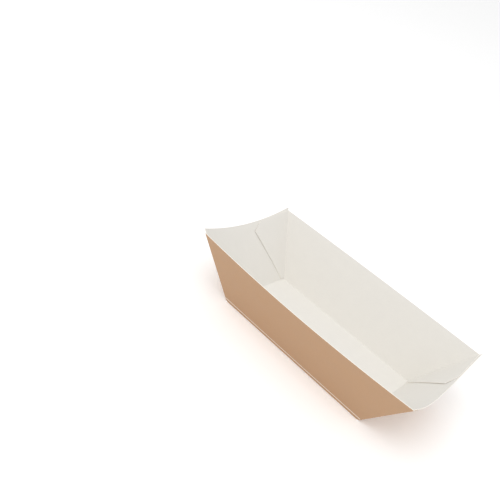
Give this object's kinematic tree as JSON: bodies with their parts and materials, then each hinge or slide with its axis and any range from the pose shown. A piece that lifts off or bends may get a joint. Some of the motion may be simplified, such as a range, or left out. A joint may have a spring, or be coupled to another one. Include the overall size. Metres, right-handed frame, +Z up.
{
  "type": "folded board food tray",
  "caption": "Long open takeaway food tray folded from one sheet of board, with sloping walls, flaps glued over the end walls and a flat base.",
  "frame": {"origin": "middle of the base's underside, on the surface the tray stands on", "axes": "+X along the tray, +Y from the front wall to the back wall, +Z up"},
  "size_m": [0.2246, 0.116, 0.0583],
  "materials": {
    "board": "matt solid board, kraft-brown print outside and plain off-white inside"
  },
  "bodies": {
    "root": {"folded_tray": "board"}
  },
  "joints": []
}
